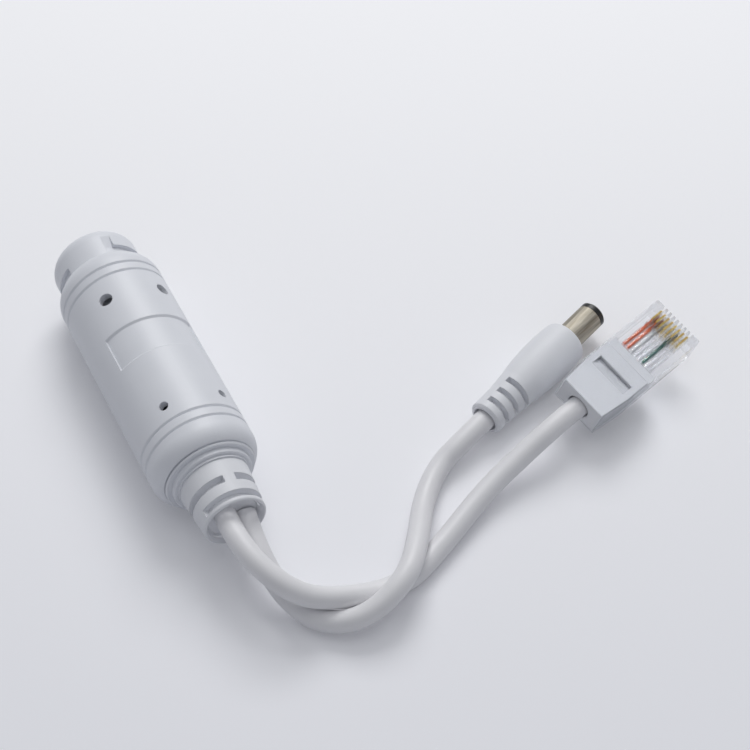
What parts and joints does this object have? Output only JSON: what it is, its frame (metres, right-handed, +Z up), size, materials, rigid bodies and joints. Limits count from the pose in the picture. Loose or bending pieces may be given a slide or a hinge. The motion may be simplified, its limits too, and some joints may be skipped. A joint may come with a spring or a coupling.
{
  "type": "poe splitter",
  "caption": "Round in-line power and data splitter: bayonet socket end, banded tubular body, slotted strain relief, network lead with clear plug and power lead with barrel plug.",
  "frame": {"origin": "on the floor under the middle of the body's length and width, without the leads", "axes": "+X along the body towards the socket, +Y to the left of it, +Z up"},
  "size_m": [0.0995, 0.1085, 0.021],
  "materials": {
    "shell_plastic": "fine matt moulded",
    "relief_plastic": "soft satin moulded",
    "plug_plastic": "soft satin moulded",
    "cable_jacket": "soft satin extruded",
    "socket_plastic": "satin moulded",
    "gold": "bright plated",
    "nickel": "bright plated",
    "black_plastic": "satin moulded",
    "clear_plastic": "clear, polished",
    "insert_plastic": "milky moulded",
    "board_laminate": "solder mask",
    "ferrite": "dry sintered",
    "winding_tape": "polyester tape",
    "capacitor_can": "drawn can",
    "orange_insulation": "extruded",
    "green_insulation": "extruded",
    "white_insulation": "extruded"
  },
  "bodies": {
    "root": {"main_shell": "shell_plastic", "front_cap": "shell_plastic", "front_band": "shell_plastic", "rear_band": "shell_plastic", "rear_cap": "shell_plastic", "gland_ring": "shell_plastic", "strain_relief": "relief_plastic", "socket_housing": "socket_plastic", "socket_contacts": "gold", "circuit_board": "board_laminate", "data_magnetics": "black_plastic", "transformer_core": "ferrite", "transformer_coil": "winding_tape", "power_inductor": "ferrite", "input_capacitor": "capacitor_can", "output_capacitors": "capacitor_can", "bridge_rectifiers": "black_plastic", "controller_chip": "black_plastic", "data_leads": "green_insulation", "power_leads": "white_insulation", "network_cable": "cable_jacket", "power_cable": "cable_jacket", "barrel_plug_grip": "plug_plastic", "barrel_sleeve": "nickel", "barrel_insulator": "black_plastic", "barrel_pin": "nickel", "modular_plug_housing": "clear_plastic", "modular_plug_insert": "insert_plastic", "modular_plug_blades": "gold", "orange_wires": "orange_insulation", "white_wire": "white_insulation", "green_wire": "green_insulation"}
  },
  "joints": []
}
